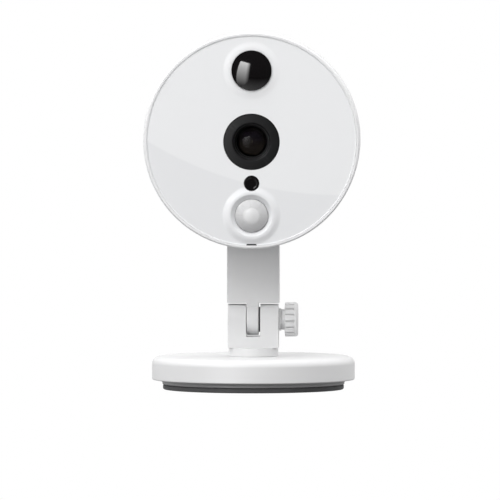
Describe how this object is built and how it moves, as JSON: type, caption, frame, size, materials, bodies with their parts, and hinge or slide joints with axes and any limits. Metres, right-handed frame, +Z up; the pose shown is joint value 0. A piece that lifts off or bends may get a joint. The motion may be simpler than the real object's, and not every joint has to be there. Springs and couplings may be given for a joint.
{
  "type": "security camera",
  "caption": "Palm-size indoor security camera: a round head with a lens, infrared window and motion sensor, on a tilting arm, clevis post with thumbscrew and weighted round base.",
  "frame": {"origin": "centre of the flat underside of the foot pad, on the surface it stands on", "axes": "+Z up, the lens looks along -Y, the thumbscrew is on the +X side"},
  "size_m": [0.069, 0.065, 0.115],
  "materials": {
    "white_shell": "semi-gloss moulded plastic",
    "face_gloss": "polished plastic with a faint two-tone sweep",
    "black_gloss": "polished infrared-pass plastic",
    "black_satin": "satin moulded plastic",
    "milky_lens": "milky polyethylene",
    "stand_plastic": "smooth moulded plastic",
    "dark_plate": "fine-textured plastic",
    "pad_rubber": "soft matt rubber",
    "steel": "zinc-plated steel",
    "cast_weight": "plain ballast",
    "magnet": "sintered magnet",
    "optic_glass": "coated optical glass",
    "filter_glass": "coated filter glass",
    "board_green": "solder-masked laminate",
    "chip_black": "moulded package",
    "shield_tin": "tin-plated sheet",
    "contact_gold": "gold-plated contacts",
    "copper_coil": "enamelled winding",
    "led_clear": "clear emitter",
    "foam": "closed-cell foam"
  },
  "bodies": {
    "base": {"foot_pad": "pad_rubber", "base_plate": "dark_plate", "base_cover": "stand_plastic", "base_weight": "cast_weight", "base_plate_screws": "steel"},
    "post": {"post": "stand_plastic", "swivel_washer": "steel", "swivel_screw": "steel", "clamp_nut": "steel", "friction_washer": "pad_rubber"},
    "clamp_washer": {"clamp_washer": "stand_plastic"},
    "thumbscrew": {"thumbscrew": "stand_plastic"},
    "filter_slider": {"filter_slider": "black_satin", "day_filter": "filter_glass", "night_filter": "optic_glass"},
    "filter_rotor": {"filter_rotor": "magnet"},
    "reset_button": {"reset_button": "black_satin"},
    "setup_button": {"setup_button": "white_shell"},
    "head": {"arm": "stand_plastic", "arm_screws": "steel", "rear_shell": "white_shell", "front_shell": "white_shell", "face_plate": "face_gloss", "case_screws": "steel", "ir_window": "black_gloss", "ir_led_board": "board_green", "ir_leds": "led_clear", "lens_ring": "black_satin", "lens_barrel": "black_satin", "rear_lens": "optic_glass", "lens_spacer": "black_satin", "second_lens": "optic_glass", "front_lens": "optic_glass", "lens_holder": "black_satin", "filter_track": "black_satin", "filter_coil": "copper_coil", "image_sensor": "chip_black", "front_board": "board_green", "light_sensor_window": "black_gloss", "light_sensor": "chip_black", "pir_lens": "milky_lens", "pir_sensor": "shield_tin", "microphone": "shield_tin", "main_board": "board_green", "board_screws": "steel", "processor_shield": "shield_tin", "wifi_module": "shield_tin", "wifi_antenna": "copper_coil", "speaker_gasket": "foam", "speaker": "chip_black", "power_socket": "shield_tin", "power_contacts": "contact_gold", "card_socket": "shield_tin", "button_switches": "chip_black"}
  },
  "joints": [
    {"name": "base_swivel", "type": "hinge", "parent": "base", "child": "post", "pos_m": [0, 0, 0.0106], "axis": [0, 0, 1], "range_deg": [-170, 170]},
    {"name": "head_tilt", "type": "hinge", "parent": "post", "child": "head", "pos_m": [0, 0, 0.02235], "axis": [1, 0, 0], "range_deg": [-90, 55]},
    {"name": "washer_slide", "type": "slide", "parent": "post", "child": "clamp_washer", "axis": [1, 0, 0], "range_m": [0, 0.0014]},
    {"name": "knob_turn", "type": "hinge", "parent": "clamp_washer", "child": "thumbscrew", "pos_m": [0, 0, 0.02235], "axis": [1, 0, 0], "range_deg": [0, 722]},
    {"name": "filter_swing", "type": "hinge", "parent": "head", "child": "filter_rotor", "pos_m": [0, -0.0155, 0.0676], "axis": [0, 1, 0], "range_deg": [0, 40.2]},
    {"name": "filter_slide", "type": "slide", "parent": "head", "child": "filter_slider", "axis": [1, 0, 0], "range_m": [0, 0.00547]},
    {"name": "reset_press", "type": "slide", "parent": "head", "child": "reset_button", "axis": [0, -1, 0], "range_m": [0, 0.0008], "stiffness_N_per_m": 200},
    {"name": "setup_press", "type": "slide", "parent": "head", "child": "setup_button", "axis": [0, -1, 0], "range_m": [0, 0.0008], "stiffness_N_per_m": 250}
  ],
  "couplings": [
    {"joint": "knob_turn", "follows": "washer_slide", "rad_per_m": 8976},
    {"joint": "filter_swing", "follows": "filter_slide", "rad_per_m": 127.58}
  ]
}
